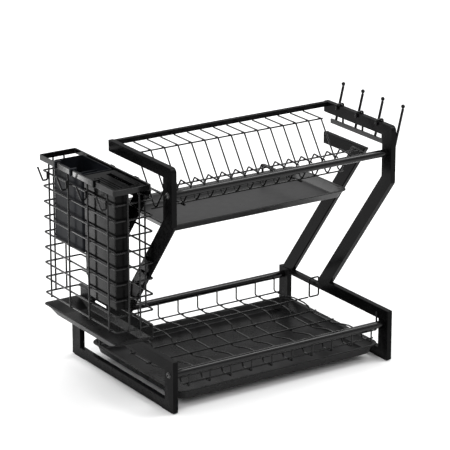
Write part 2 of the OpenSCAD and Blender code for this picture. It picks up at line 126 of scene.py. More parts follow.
def noise(nt, coord, scale, detail=3.0, rough=0.5):
    n = nt.nodes.new("ShaderNodeTexNoise")
    n.inputs["Scale"].default_value = scale
    n.inputs["Detail"].default_value = detail
    n.inputs["Roughness"].default_value = rough
    nt.links.new(coord, n.inputs["Vector"])
    return n.outputs["Fac"]


def remap(nt, value, span, to):
    """The range span of value stretched over the range to."""
    m = nt.nodes.new("ShaderNodeMapRange")
    m.inputs["From Min"].default_value, m.inputs["From Max"].default_value = span
    m.inputs["To Min"].default_value, m.inputs["To Max"].default_value = to
    nt.links.new(value, m.inputs["Value"])
    return m.outputs["Result"]


def mix(nt, fac, a, b):
    m = nt.nodes.new("ShaderNodeMix")
    m.data_type = "RGBA"
    nt.links.new(fac, m.inputs["Factor"])
    for socket, v in ((m.inputs["A"], a), (m.inputs["B"], b)):
        if isinstance(v, tuple):
            socket.default_value = (*v, 1)
        else:
            nt.links.new(v, socket)
    return m.outputs["Result"]


def combine(nt, operation, a, b):
    m = nt.nodes.new("ShaderNodeMath")
    m.operation = operation
    nt.links.new(a, m.inputs[0])
    nt.links.new(b, m.inputs[1])
    return m.outputs[0]


def bump(nt, bsdf, layers):
    """layers holds (height, strength, distance in metres), the finest first."""
    last = None
    for height, strength, distance in layers:
        b = nt.nodes.new("ShaderNodeBump")
        b.inputs["Strength"].default_value = strength
        b.inputs["Distance"].default_value = distance
        nt.links.new(height, b.inputs["Height"])
        if last is not None:
            nt.links.new(last, b.inputs["Normal"])
        last = b.outputs["Normal"]
    nt.links.new(last, bsdf.inputs["Normal"])


DUST_SCALE = 9          # how much finer the dust is than the slow patches
SPECK_GAIN, SPECK_LIFT = 1.7, 0.004     # how much paler than the light tone a speck of the grain is
WEAR_AND_HIGHLIGHT_AT = 0.56          # pointiness at which an edge begins to turn pale, from wear and from a painted highlight
WEAR_AND_HIGHLIGHT_SPAN = 0.08        # and how much more of it makes the pale edge complete
WAVE_DEPTH = 0.6 * MM   # slow waves of the surface
SCRATCH_STRETCH = (1.0, 14.0, 1.0)
SCRATCH_SCALE = 90.0
SCRATCH_DEPTH = 0.12 * MM


def surface(name, dark, light, worn_and_highlight, rough, specular, grain, depth, patch=14.0, scratch=0.0):
    """A coated or moulded surface: dark and light tones in slow patches, a fine grain of that depth in the
    bump, roughness that wanders between the two values of rough, and a paler band along the outer edges that
    is partly wear and partly a painted edge highlight."""
    mat, nt, bsdf = node_tree(name)
    coord = nt.nodes.new("ShaderNodeTexCoord").outputs["Object"]
    slow = noise(nt, coord, patch, detail=4.0, rough=0.55)
    fine = noise(nt, coord, grain, detail=2.0)
    dust = noise(nt, coord, patch * DUST_SCALE, detail=5.0, rough=0.7)
    tone = mix(nt, remap(nt, slow, (0.35, 0.65), (0.0, 1.0)), dark, light)
    speck = tuple(min(1.0, c * SPECK_GAIN + SPECK_LIFT) for c in light)
    tone = mix(nt, remap(nt, fine, (0.6, 0.75), (0.0, 0.35)), tone, speck)
    # the pale outer edges are partly wear and partly a painted highlight, standing in for light catching the
    # eased edges
    edge = nt.nodes.new("ShaderNodeNewGeometry").outputs["Pointiness"]
    outer = remap(nt, edge, (WEAR_AND_HIGHLIGHT_AT, WEAR_AND_HIGHLIGHT_AT + WEAR_AND_HIGHLIGHT_SPAN), (0.0, 1.0))
    rub_and_highlight = combine(nt, "MULTIPLY", outer, remap(nt, dust, (0.4, 0.62), (0.15, 0.9)))
    nt.links.new(mix(nt, rub_and_highlight, tone, worn_and_highlight), bsdf.inputs["Base Color"])
    dusty = remap(nt, dust, (0.3, 0.7), (-0.04, 0.04))
    wander = combine(nt, "ADD", remap(nt, slow, (0.3, 0.7), rough), dusty)
    nt.links.new(wander, bsdf.inputs["Roughness"])
    bsdf.inputs["Specular IOR Level"].default_value = specular
    layers = [(fine, 0.5, depth), (slow, 0.25, WAVE_DEPTH)]
    if scratch:
        stretch = nt.nodes.new("ShaderNodeMapping")
        stretch.inputs["Scale"].default_value = SCRATCH_STRETCH
        nt.links.new(coord, stretch.inputs["Vector"])
        lines = noise(nt, stretch.outputs["Vector"], SCRATCH_SCALE, detail=6.0, rough=0.7)
        layers.append((lines, scratch, SCRATCH_DEPTH))
    bump(nt, bsdf, layers)
    return mat


# The coats differ mainly in how strongly they mirror the white room, which is what sets their grey.
# worn_and_highlight is the pale edge colour of each coat: partly wear, partly a painted edge highlight
FRAME_TONES = dict(dark=(0.0028, 0.0028, 0.0029), light=(0.0058, 0.0058, 0.006), worn_and_highlight=(0.016, 0.016, 0.016),
                   grain=900.0, depth=0.04 * MM)
TRAY_GRAIN = dict(worn_and_highlight=(0.02, 0.02, 0.02), grain=1100.0, depth=0.03 * MM, patch=7.0, scratch=0.12)
FINISHES = {
    "frame_coat": dict(FRAME_TONES, rough=(0.12, 0.2), specular=0.045),
    "rail_coat": dict(FRAME_TONES, rough=(0.12, 0.18), specular=0.24),
    "wire_coat": dict(
        dark=(0.0022, 0.0022, 0.0023), light=(0.005, 0.005, 0.0052), worn_and_highlight=(0.03, 0.03, 0.03),
        rough=(0.20, 0.30), specular=0.28, grain=1400.0, depth=0.03 * MM, patch=30.0),
    "tray_coat": dict(
        TRAY_GRAIN, dark=(0.0045, 0.0045, 0.0046), light=(0.0085, 0.0085, 0.0088), rough=(0.26, 0.36),
        specular=0.34),
    # a darker, less glossy copy of the same tray coat: painted shade for the lower and side trays, which sit
    # in shade
    "tray_coat_painted_shade": dict(
        TRAY_GRAIN, dark=(0.0035, 0.0035, 0.0036), light=(0.0075, 0.0075, 0.0078), rough=(0.24, 0.34),
        specular=0.13),
    "black_rubber": dict(
        dark=(0.003, 0.003, 0.003), light=(0.006, 0.006, 0.006), worn_and_highlight=(0.02, 0.02, 0.02),
        rough=(0.62, 0.78), specular=0.2, grain=2200.0, depth=0.05 * MM, patch=40.0),
    "cup_plastic": dict(
        dark=(0.004, 0.0045, 0.0058), light=(0.009, 0.010, 0.013), worn_and_highlight=(0.013, 0.0145, 0.018),
        rough=(0.42, 0.54), specular=0.07, grain=1800.0, depth=0.04 * MM, patch=20.0),
    "block_plastic": dict(
        dark=(0.0016, 0.0016, 0.0016), light=(0.004, 0.004, 0.0042), worn_and_highlight=(0.006, 0.006, 0.006),
        rough=(0.15, 0.24), specular=0.04, grain=1600.0, depth=0.04 * MM, patch=18.0),
    "screw_steel": dict(
        dark=(0.006, 0.006, 0.006), light=(0.013, 0.013, 0.013), worn_and_highlight=(0.12, 0.12, 0.12),
        rough=(0.14, 0.22), specular=0.9, grain=2500.0, depth=0.02 * MM, patch=120.0),
}
M = {name: surface(name, **finish) for name, finish in FINISHES.items()}


# ---------------------------------------------------------------- pieces
def add_piece(bm, node, suffix, slot, smooth_to=35.0, finish=None):
    """The piece that stands for a CAD node. Edges sharper than smooth_to degrees stay crisp, and finish
    names a variant of the slot's material."""
    name = f"{node}_{suffix}"
    me = bpy.data.meshes.new(name)
    bmesh.ops.recalc_face_normals(bm, faces=bm.faces)
    bm.to_mesh(me)
    bm.free()
    me.polygons.foreach_set("use_smooth", [True] * len(me.polygons))
    me.set_sharp_from_angle(angle=math.radians(smooth_to))
    me.materials.append(M[finish or slot])
    ob = bpy.data.objects.new(name, me)
    bpy.context.scene.collection.objects.link(ob)
    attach(ob, BODY_OF[node])
    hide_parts(node)
    return ob


WELD_DISTANCE = 0.002 * MM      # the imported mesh's doubled corners lie closer than this
FLAT_WITHIN = math.radians(1.0)
EASE_FROM = math.radians(30.0)


def eased_copy(node, slot, width, segments, finish=None):
    """A new piece of the CAD node's shape whose edges are eased by a bevel; the node itself is only read."""
    bm = bmesh.new()
    bm.from_mesh(NODES[node].data)
    bmesh.ops.remove_doubles(bm, verts=bm.verts, dist=WELD_DISTANCE)
    bmesh.ops.dissolve_limit(bm, angle_limit=FLAT_WITHIN, verts=bm.verts, edges=bm.edges)
    ob = add_piece(bm, node, "eased", slot, finish=finish)
    bevel = ob.modifiers.new("ease", "BEVEL")
    bevel.width = width * MM
    bevel.segments = segments
    bevel.limit_method = "ANGLE"
    bevel.angle_limit = EASE_FROM
    bevel.use_clamp_overlap = True
    bevel.harden_normals = True


NEARLY_STRAIGHT = math.radians(88.5)


def rounded_path(points, radius, steps, closed):
    """Corner points to a path whose corners are arcs of that radius, all in metres."""
    n = len(points)
    out = []
    for i in range(n):
        if not closed and i in (0, n - 1):
            out.append(points[i])
            continue
        a, b, c = points[i - 1], points[i], points[(i + 1) % n]
        u, v = (a - b).normalized(), (c - b).normalized()
        half = u.angle(v) / 2
        if half > NEARLY_STRAIGHT:
            out.append(b)
            continue
        cut = min(radius / math.tan(half), 0.49 * (a - b).length, 0.49 * (c - b).length)
        r = cut * math.tan(half)
        centre = b + (u + v).normalized() * (r / math.sin(half))
        s, e = b + u * cut - centre, b + v * cut - centre
        sweep = math.pi - 2 * half
        for k in range(steps + 1):
            t = k / steps
            turned = s * math.sin(sweep * (1 - t)) + e * math.sin(sweep * t)
            out.append(centre + turned / math.sin(sweep))
    return out


def join_rings(bm, rings, closed=False):
    """Faces between rings of equal length, and a face over each end unless the rings close on themselves."""
    pairs = list(zip(rings, rings[1:]))
    if closed:
        pairs.append((rings[-1], rings[0]))
    for a, b in pairs:
        for j in range(len(a)):
            k = (j + 1) % len(a)
            bm.faces.new((a[j], a[k], b[k], b[j]))
    if not closed:
        bm.faces.new(rings[0])
        bm.faces.new(list(reversed(rings[-1])))


DOME = 0.55                     # height of a wire's domed end, in radii
DOME_ANGLES = (1.4, 1.0, 0.5)   # radians from the wire's side, from the tip inwards


def sweep_wire(bm, path, r, normal, closed=False, sides=12):
    """A round wire of radius r, in metres, along a path that is flat across normal; open ends are domed."""
    n = Vector(normal)
    count = len(path)
    stations = []
    for i, p in enumerate(path):
        t = Vector()
        if closed or i > 0:
            t += (path[i] - path[i - 1]).normalized()
        if closed or i < count - 1:
            t += (path[(i + 1) % count] - path[i]).normalized()
        stations.append((p, t.normalized(), 1.0))
    if not closed:
        depth = r * DOME
        head, tail = [], []
        for points, end, into in ((head, stations[0], 1), (tail, stations[-1], -1)):
            p, t, _ = end
            for a in DOME_ANGLES:
                points.append((p + t * into * depth * (1 - math.sin(a)), t, math.cos(a)))
            points.append((p + t * into * depth, t, 1.0))
        stations = head + stations[1:-1] + list(reversed(tail))
    rings = []
    for p, t, share in stations:
        side = t.cross(n).normalized()
        ring = []
        for j in range(sides):
            a = 2 * math.pi * j / sides
            ring.append(bm.verts.new(p + (side * math.cos(a) + n * math.sin(a)) * r * share))
        rings.append(ring)
    join_rings(bm, rings, closed)


def bent(bm, corners, r, normal, bend, steps=6, closed=False):
    """A wire through corner places, each corner turned to the radius bend."""
    points = [place(*corner) for corner in corners]
    sweep_wire(bm, rounded_path(points, bend * MM, steps, closed), r * MM, normal, closed)


def straight(bm, start, end, r, normal, spans, sides=12):
    """A straight wire, cut into spans so that its surface shades evenly."""
    path = []
    for k in range(spans + 1):
        path.append(place(*(a + (b - a) * k / spans for a, b in zip(start, end))))
    sweep_wire(bm, path, r * MM, normal, sides=sides)


def lathe(bm, centre, axis, profile, segments, shape=None):
    """A turned solid at a point in metres. profile holds (radius, height along the axis), and shape(angle, k)
    may scale the radius of the profile's point k."""
    w = Vector(axis)
    u = w.orthogonal().normalized()
    v = w.cross(u)
    rings = []
    for k, (r, h) in enumerate(profile):
        ring = []
        for j in range(segments):
            a = 2 * math.pi * j / segments
            out = r * (shape(a, k) if shape else 1.0)
            ring.append(bm.verts.new(centre + (w * h + (u * math.cos(a) + v * math.sin(a)) * out) * MM))
        rings.append(ring)
    join_rings(bm, rings)


BEAD_R = 1.25
BEAD_PROFILE = [(0.55 * BEAD_R, -0.95 * BEAD_R), (BEAD_R, -0.3 * BEAD_R),
                (BEAD_R, 0.3 * BEAD_R), (0.55 * BEAD_R, 0.95 * BEAD_R)]


def bead(bm, x, y, z, axis):
    """A small weld bead between two crossed wires, its ends along axis."""
    lathe(bm, place(x, y, z), axis, BEAD_PROFILE, segments=8)


ALONG_X, ALONG_Y, ALONG_Z = (1, 0, 0), (0, 1, 0), (0, 0, 1)


def long_wire(bm, mid_x, reach, y, z):
    """A wire along X whose ends lie reach from mid_x."""
    straight(bm, (mid_x - reach, y, z), (mid_x + reach, y, z), WIRE_R, ALONG_Z, spans=12)


def add_wires(bm, node):
    add_piece(bm, node, "smooth", "wire_coat", smooth_to=60.0)


# ---- side frames, rim, hangers and other flat-sided pieces: eased edges ----
for node in ("left_lower_loop", "right_lower_loop", "left_front_tube", "right_front_tube",
             "left_back_tube", "right_back_tube"):
    eased_copy(node, "frame_coat", width=1.6, segments=4)
eased_copy("upper_back_rail", "frame_coat", width=1.3, segments=3)
eased_copy("basket_rim", "frame_coat", width=0.8, segments=3, finish="rail_coat")
eased_copy("basket_hangers", "frame_coat", width=0.4, segments=2)
eased_copy("cup_holder_bar", "wire_coat", width=0.5, segments=3)
eased_copy("foot_pads", "black_rubber", width=0.35, segments=3)
eased_copy("cutlery_cup", "cup_plastic", width=0.45, segments=3)
eased_copy("knife_block", "block_plastic", width=0.7, segments=3)
eased_copy("tube_end_caps", "black_rubber", width=0.9, segments=4)

# ---- round rails: a bore and a turned edge at each end ----
ROUND_RAILS = ("upper_front_rail", "lower_front_rail", "lower_back_rail")
BORE_R, BORE_DEPTH = 3.0, 13.0
EDGE = 0.5          # how far the turned edge reaches
EDGE_MID = 0.15     # how far its middle stands in from both faces
BARREL_STEPS = 24
for node in ROUND_RAILS:
    lo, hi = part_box(node)
    half = (hi.x - lo.x) / 2 / MM
    end = [(BORE_R, half - BORE_DEPTH), (BORE_R, half), (RAIL_R - EDGE, half),
           (RAIL_R - EDGE_MID, half - EDGE_MID), (RAIL_R, half - EDGE)]
    profile = [(r, -x) for r, x in end]
    profile += [(RAIL_R, (half - EDGE) * (2 * k / BARREL_STEPS - 1)) for k in range(1, BARREL_STEPS)]
    profile += list(reversed(end))
    bm = bmesh.new()
    lathe(bm, (lo + hi) / 2, ALONG_X, profile, segments=48)
    add_piece(bm, node, "turned", "frame_coat", finish="rail_coat")

# ---- screws: domed heads with a hexagon recess, over a thin washer ----
SHANK_R, SHANK_REACH = 2.8, 12
WASHER_R, WASHER_T = 5.0, 0.5
DOME_FOOT_R, DOME_MID_R, DOME_TOP_R = 4.1, 3.5, 2.9
HEX_R, HEX_DEPTH = 2.2, 1.4
HEAD_H = (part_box("frame_screws")[1].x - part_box("frame_screws")[0].x) / 2 / MM - HALF_W
SCREW_PROFILE = [
    (SHANK_R, -TUBE_T - SHANK_REACH), (SHANK_R, 0.0), (WASHER_R, 0.0), (WASHER_R, WASHER_T),
    (WASHER_R - 0.2, WASHER_T + 0.2), (WASHER_R - 0.7, WASHER_T + 0.25), (DOME_FOOT_R, HEAD_H - 0.9),
    (DOME_MID_R, HEAD_H - 0.25), (DOME_TOP_R, HEAD_H), (HEX_R + 0.1, HEAD_H), (HEX_R, HEAD_H - 0.15),
    (HEX_R, HEAD_H - HEX_DEPTH), (0.3, HEAD_H - HEX_DEPTH - 0.1)]
FIRST_HEX_POINT = 9     # the profile is round before this point and a hexagon from it on
SIXTH = math.pi / 3


def hexagon(angle, k):
    if k < FIRST_HEX_POINT:
        return 1.0
    from_flat = (angle + SIXTH / 2) % SIXTH - SIXTH / 2
    return math.cos(SIXTH / 2) / math.cos(from_flat)


bm = bmesh.new()
for side in (-1, 1):
    for rail in ROUND_RAILS:
        seat = place(side * HALF_W, *axis_of(rail))
        lathe(bm, seat, (side, 0, 0), SCREW_PROFILE, segments=48, shape=hexagon)
add_piece(bm, "frame_screws", "detailed", "screw_steel", smooth_to=30.0)

# ---- plate rack: cross wires that drop from a shoulder to the floor and rise to a tooth ----
PLATE_ROW_X, PLATE_COUNT, PLATE_PITCH = -18.5, 15, 24.8
PLATE_X = [PLATE_ROW_X + x for x in row(PLATE_COUNT, PLATE_PITCH)]
WIRE_END = 8        # how far the long wires reach past the last cross wires
SHOULDER_Y, SHOULDER_Z = 129, mm(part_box("upper_back_rail")[0].z) - WIRE_R - GAP
PLATE_FRONT_Y, PLATE_BACK_Y, PLATE_FLOOR_Z = 72.5, 79, 316
TOOTH_Y, TOOTH_Z = 42, 363
PLATE_PATH = [
    (BACK_RAIL_Y, SHOULDER_Z), (SHOULDER_Y, SHOULDER_Z), (PLATE_BACK_Y, PLATE_FLOOR_Z),
    (PLATE_FRONT_Y, PLATE_FLOOR_Z), (TOOTH_Y, TOOTH_Z),
    (FRONT_RAIL_Y, UPPER_RAIL_Z + RAIL_R + WIRE_R + GAP)]
bm = bmesh.new()
for x in PLATE_X:
    bent(bm, [(x, y, z) for y, z in PLATE_PATH], WIRE_R, ALONG_X, bend=2.5)
add_wires(bm, "plate_wires")

# long wires under the shoulder, the floor and the tooth
PLATE_LONG = [
    (SHOULDER_Y + 6, SHOULDER_Z - UNDER),
    ((PLATE_BACK_Y + PLATE_FRONT_Y) / 2, PLATE_FLOOR_Z - UNDER),
    (TOOTH_Y - 8, TOOTH_Z - UNDER - 1)]
bm = bmesh.new()
reach = (PLATE_COUNT - 1) * PLATE_PITCH / 2 + WIRE_END
for y, z in PLATE_LONG:
    long_wire(bm, PLATE_ROW_X, reach, y, z)
    for x in PLATE_X:
        bead(bm, x, y, z + WIRE_R, ALONG_Z)
add_wires(bm, "plate_long_wires")

# ---- bowl rack: cross wires with a short arch in front and a longer one behind ----
BOWL_ROW_X, BOWL_COUNT, BOWL_PITCH = 2.4, 10, 38.9
BOWL_X = [BOWL_ROW_X + x for x in row(BOWL_COUNT, BOWL_PITCH)]
BOWL_FLOOR_Z = 34
FRONT_DROP_Z = 36           # foot of the drop below the front rail
FRONT_ARCH_Y, BACK_ARCH_Y = 36, 184
FRONT_ARCH_SCALE = 0.83     # the front arch is shorter than the back one
BETWEEN_ARCHES_Y = 120
BACK_DROP_Y, BACK_DROP_Z = LOWER_BACK_Y - RAIL_R - WIRE_R - GAP, 38
ARCH = [(0, 0), (5, 7), (19, 10), (48, 9.5), (70, 6), (84, 3)]


def arch_at(y, scale):
    return [(y + scale * run, BOWL_FLOOR_Z + rise) for run, rise in ARCH]


BOWL_PATH = [
    (FRONT_RAIL_Y, LOWER_RAIL_Z - RAIL_R - GAP), (FRONT_RAIL_Y, FRONT_DROP_Z),
    *arch_at(FRONT_ARCH_Y, FRONT_ARCH_SCALE), (BETWEEN_ARCHES_Y, BOWL_FLOOR_Z),
    *arch_at(BACK_ARCH_Y, 1.0), (BACK_DROP_Y, BACK_DROP_Z), (BACK_DROP_Y, LOWER_RAIL_Z)]
bm = bmesh.new()
for x in BOWL_X:
    bent(bm, [(x, y, z) for y, z in BOWL_PATH], WIRE_R, ALONG_X, bend=3, steps=4)
add_wires(bm, "bowl_wires")

HOOP_R = 1.5
HOOP_OUT = 5                # from both faces of a side frame to a hoop's axis
HOOP_TOP, STUB_TOP = 80, 78
END_BAR_Z = 46.7            # height of the two end bars, and of the feet of the hoops and end wires
END_BAR_CLEAR = 0.5         # between the end bars and the hoops
STUB_Y, HOOP_Y = 28, 214
STUB_FOOT = 5               # length of an end wire's level foot
# long wires over the cross wires: behind the front drop, between the arches and before the back drop
BOWL_LONG = [
    (FRONT_RAIL_Y + 6, FRONT_DROP_Z + UNDER),
    (BETWEEN_ARCHES_Y + 8, BOWL_FLOOR_Z + UNDER),
    (BACK_ARCH_Y - 6, BOWL_FLOOR_Z + UNDER),
    (BACK_DROP_Y - 16, BACK_DROP_Z + 0.5 + UNDER)]
bm = bmesh.new()
reach = (BOWL_COUNT - 1) * BOWL_PITCH / 2 + WIRE_END
for y, z in BOWL_LONG:
    long_wire(bm, BOWL_ROW_X, reach, y, z)
    for x in BOWL_X:
        bead(bm, x, y, z - WIRE_R, ALONG_Z)
reach = INNER_HALF_W - HOOP_OUT - HOOP_R - END_BAR_CLEAR
for y in (STUB_Y, HOOP_Y):
    long_wire(bm, 0, reach, y, END_BAR_Z)
add_wires(bm, "bowl_long_wires")

# the bowl rack's ends: a closed hoop round each side frame at the back, a wire that turns up at the front
bm = bmesh.new()
for side in (-1, 1):
    x0, x1 = side * (INNER_HALF_W - HOOP_OUT), side * (HALF_W + HOOP_OUT)
    hoop = [(x0, HOOP_Y, END_BAR_Z), (x1, HOOP_Y, END_BAR_Z), (x1, HOOP_Y, HOOP_TOP), (x0, HOOP_Y, HOOP_TOP)]
    bent(bm, hoop, HOOP_R, ALONG_Y, bend=3, closed=True)
    x = INNER_HALF_W - HOOP_R - GAP
    foot_x = x - STUB_FOOT
    stub = [(side * foot_x, STUB_Y, END_BAR_Z), (side * x, STUB_Y, END_BAR_Z), (side * x, STUB_Y, STUB_TOP)]
    bent(bm, stub, HOOP_R, ALONG_Y, bend=3)
add_wires(bm, "bowl_rack_loops")

# ---- tray runners: the upper tray slides on their lower arms ----
UPPER_TRAY_LO, UPPER_TRAY_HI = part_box("upper_drip_tray")
RUNNER_R = 2
RUNNER_SPREAD = 110
RUNNER_CLEAR = 2        # between the tray's back edge and the runners
RUNNER_SHORT = 24       # how far the lower arms stop behind the tray's front edge
tray_x = mm((UPPER_TRAY_LO.x + UPPER_TRAY_HI.x) / 2 - MID_X)
behind = mm(UPPER_TRAY_HI.y - FRONT_Y) + RUNNER_R + RUNNER_CLEAR
top = PLATE_FLOOR_Z - 3 * WIRE_R - 2 * GAP - RUNNER_R
under = mm(UPPER_TRAY_LO.z) - GAP - RUNNER_R
front = mm(UPPER_TRAY_LO.y - FRONT_Y) + RUNNER_SHORT
bm = bmesh.new()
for x in (tray_x - RUNNER_SPREAD, tray_x + RUNNER_SPREAD):
    arms = [(x, PLATE_FRONT_Y, top), (x, behind, top), (x, behind, under), (x, front, under)]
    bent(bm, arms, RUNNER_R, ALONG_X, bend=5)
add_wires(bm, "tray_runners")

# ---- drip trays: sheet with a rolled rim, sloped walls and a softly turned bottom ----
CORNER_STEPS = 10


def rounded_rect(lo, hi, ix, iy, r, z):
    """Points round a rectangle, ix and iy inside the corners lo and hi, all in metres."""
    x0, x1, y0, y1 = lo.x + ix + r, hi.x - ix - r, lo.y + iy + r, hi.y - iy - r
    pts = []
    for cx, cy, start in ((x1, y1, 0), (x0, y1, 90), (x0, y0, 180), (x1, y0, 270)):
        for k in range(CORNER_STEPS + 1):
            a = math.radians(start + 90 * k / CORNER_STEPS)
            pts.append(Vector((cx + r * math.cos(a), cy + r * math.sin(a), z)))
    return pts


def pan(bm, lo, hi, z0, z1, corner, rim, lean):
    """A tray from z0 to z1. lo and hi are the rim's outer corners in metres, corner is their radius, rim is
    the rim's width and lean the walls' run along X and Y."""
    h = z1 - z0
    # each point is (inset, share of the lean, height)
    underside = [  # the inset counts from the rim's inner edge
        (5.0, 1.0, 0.0), (2.2, 1.0, 0.0), (0.9, 0.99, 0.3), (0.3, 0.93, 1.1), (0.3, 0.06, h - 2.7),
        (-0.1, 0.0, h - 2.0), (-1.0, 0.0, h - 1.7)]
    rolled_edge = [  # the inset counts from the rim's outer edge
        (1.6, 0.0, h - 1.7), (0.7, 0.0, h - 1.9), (0.15, 0.0, h - 1.5), (0.0, 0.0, h - 0.95),
        (0.15, 0.0, h - 0.35), (0.7, 0.0, h), (1.4, 0.0, h - 0.05), (2.0, 0.0, h - 0.35)]
    rim_top = [(-0.5, 0.0, h - 0.45), (0.5, 0.0, h - 0.75), (1.0, 0.05, h - 1.6)]
    inside = [  # the inset counts from the wall's outer face, the height from the bottom's top face
        (0.1, 0.93, 1.1), (0.9, 0.99, 0.35), (2.4, 1.0, 0.0), (6.0, 1.0, 0.0)]
    profile = [(rim + inset, share, z) for inset, share, z in underside]
    profile += rolled_edge
    profile += [(rim + inset, share, z) for inset, share, z in rim_top]
    profile += [(rim + SHEET + inset, share, SHEET + z) for inset, share, z in inside]
    loops = []
    for inset, share, z in profile:
        ix, iy = (inset + share * lean[0]) * MM, (inset + share * lean[1]) * MM
        r = max(corner - inset, 1.5) * MM
        loops.append([bm.verts.new(p) for p in rounded_rect(lo, hi, ix, iy, r, (z0 + z) * MM)])
    join_rings(bm, loops)


RIM_W = 5
TRAY_LEAN = (5, 5)
bm = bmesh.new()
lo, hi = UPPER_TRAY_LO, UPPER_TRAY_HI
pan(bm, lo, hi, lo.z / MM, hi.z / MM, corner=14, rim=RIM_W, lean=TRAY_LEAN)
add_piece(bm, "upper_drip_tray", "pressed", "tray_coat", smooth_to=50.0)

FOOT_H = 12
FOOT_IN = 50 * MM
FOOT_PROFILE = [(5.5, 0.0), (6.6, 0.2), (7.0, 0.9), (7.3, 6), (8, FOOT_H)]
bm = bmesh.new()
lo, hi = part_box("lower_drip_tray")
pan(bm, lo, hi, lo.z / MM + FOOT_H, hi.z / MM, corner=20, rim=RIM_W, lean=TRAY_LEAN)
for x in (lo.x + FOOT_IN, hi.x - FOOT_IN):
    for y in (lo.y + FOOT_IN, hi.y - FOOT_IN):
        lathe(bm, Vector((x, y, 0)), ALONG_Z, FOOT_PROFILE, segments=36)
# the lower tray takes the darker copy of the tray coat, painted shade
add_piece(bm, "lower_drip_tray", "pressed", "tray_coat", smooth_to=50.0, finish="tray_coat_painted_shade")

# the side tray hangs by a flange, whose lip lies over the basket's lowest ring
RING_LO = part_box("basket_rings")[0]
BASE_RING_Z = mm(RING_LO.z) + CAGE_R
BASE_RING_X = -HALF_W - 8       # the base ring is narrower, so the flange fits beside it
RING_CLEAR = 0.3
RING_TOP = BASE_RING_Z + CAGE_R + RING_CLEAR
SIDE_TRAY_TOP = 115
FLANGE_INSET = 4.5
LIP_W = 3
SLOT_Y, SLOT_Z = (190, 245), (117, 121.5)
bm = bmesh.new()
lo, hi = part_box("side_drip_tray")
pan(bm, lo, hi, mm(lo.z), SIDE_TRAY_TOP, corner=8, rim=3.5, lean=(3, 30))
flange_x = place(BASE_RING_X + CAGE_R + RING_CLEAR, 0, 0).x
# each row holds x in metres and z in millimetres on the face towards the ring, then the steps in
# millimetres to the outer face
flange_rows = [
    (flange_x, SIDE_TRAY_TOP - SHEET, SHEET, 0),
    (flange_x, SLOT_Z[0], SHEET, 0),
    (flange_x, SLOT_Z[1], SHEET, 0),
    (flange_x, RING_TOP, SHEET, SHEET),
    (flange_x - LIP_W * MM, RING_TOP, 0, SHEET)]
flange_cols = [lo.y + FLANGE_INSET * MM, *(place(0, y, 0).y for y in SLOT_Y), hi.y - FLANGE_INSET * MM]
SLOT_CELL = (1, 1)              # the slot's row and column among the flange's cells
inner, outer = {}, {}
for i, (x, z, out_x, out_z) in enumerate(flange_rows):
    for j, y in enumerate(flange_cols):
        inner[i, j] = bm.verts.new((x, y, z * MM))
        outer[i, j] = bm.verts.new((x + out_x * MM, y, (z + out_z) * MM))
sides = []
for i in range(len(flange_rows) - 1):
    for j in range(len(flange_cols) - 1):
        if (i, j) != SLOT_CELL:
            cell = [(i, j), (i, j + 1), (i + 1, j + 1), (i + 1, j)]
            sides += zip(cell, cell[1:] + cell[:1])
            bm.faces.new([outer[at] for at in cell])
            bm.faces.new([inner[at] for at in reversed(cell)])
for a, b in sides:
    if (b, a) not in sides:     # no cell lies beyond this side
        bm.faces.new((outer[b], outer[a], inner[a], inner[b]))
# the side tray takes the darker copy of the tray coat, painted shade
add_piece(bm, "side_drip_tray", "pressed", "tray_coat", smooth_to=50.0, finish="tray_coat_painted_shade")

# ---- utensil basket: wire rings with uprights welded across them ----
RING_COUNT, RING_PITCH = 9, 25.5
RING_Z = [BASE_RING_Z + RING_PITCH * i for i in range(RING_COUNT)]
CAGE_X0, CAGE_X1 = -HALF_W - 68.5, -HALF_W - 2.5
CAGE_Y0, CAGE_Y1 = 51.5, 274
bm = bmesh.new()
for z in RING_Z:
    x1 = BASE_RING_X if z == BASE_RING_Z else CAGE_X1
    ring = [(CAGE_X0, CAGE_Y0, z), (x1, CAGE_Y0, z), (x1, CAGE_Y1, z), (CAGE_X0, CAGE_Y1, z)]
    bent(bm, ring, CAGE_R, ALONG_Z, bend=4, closed=True)
add_wires(bm, "basket_rings")

UPRIGHT_Y = (69, 129, 189, 249)
UPRIGHT_X = (-HALF_W - 48, -HALF_W - 28)
OUTER_X, INNER_X = CAGE_X0 - CAGE_STEP, CAGE_X1 - CAGE_STEP
UPRIGHT_LOW = BASE_RING_Z - CAGE_R
RIM_LOW = mm(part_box("basket_rim")[0].z)


def upright(bm, x, y, z0, z1):
    straight(bm, (x, y, z0), (x, y, z1), CAGE_R, ALONG_Y, spans=8)


bm = bmesh.new()
for y in UPRIGHT_Y:
    upright(bm, OUTER_X, y, UPRIGHT_LOW, RIM_LOW)
    upright(bm, INNER_X, y, UPRIGHT_LOW + RING_PITCH, RING_Z[-1] + CAGE_R)
    for z in RING_Z:
        bead(bm, OUTER_X + CAGE_STEP / 2, y, z, ALONG_X)
    for z in RING_Z[1:]:
        bead(bm, INNER_X + CAGE_STEP / 2, y, z, ALONG_X)
for x in UPRIGHT_X:
    for y, outward in ((CAGE_Y0, -1), (CAGE_Y1, 1)):
        upright(bm, x, y + outward * CAGE_STEP, UPRIGHT_LOW, RIM_LOW)
        for z in RING_Z:
            bead(bm, x, y + outward * CAGE_STEP / 2, z, ALONG_Y)
add_wires(bm, "basket_uprights")

HOOK_REACH, HOOK_RISE, HOOK_DROP, HOOK_FOOT = 20, 24, 8, 8
HOOK_WELD = 6       # how far a hook's back runs up past the top ring
hook_x, hook_tip_x = OUTER_X - CAGE_STEP, OUTER_X - HOOK_REACH
hook_low = RING_Z[-1] - HOOK_DROP
bm = bmesh.new()
for y in UPRIGHT_Y:
    hook = [(hook_x, y, RING_Z[-1] + HOOK_WELD), (hook_x, y, hook_low), (hook_x - HOOK_FOOT, y, hook_low),
            (hook_tip_x, y, hook_low + HOOK_RISE)]
    bent(bm, hook, CAGE_R, ALONG_Y, bend=2.6)
add_wires(bm, "basket_hooks")

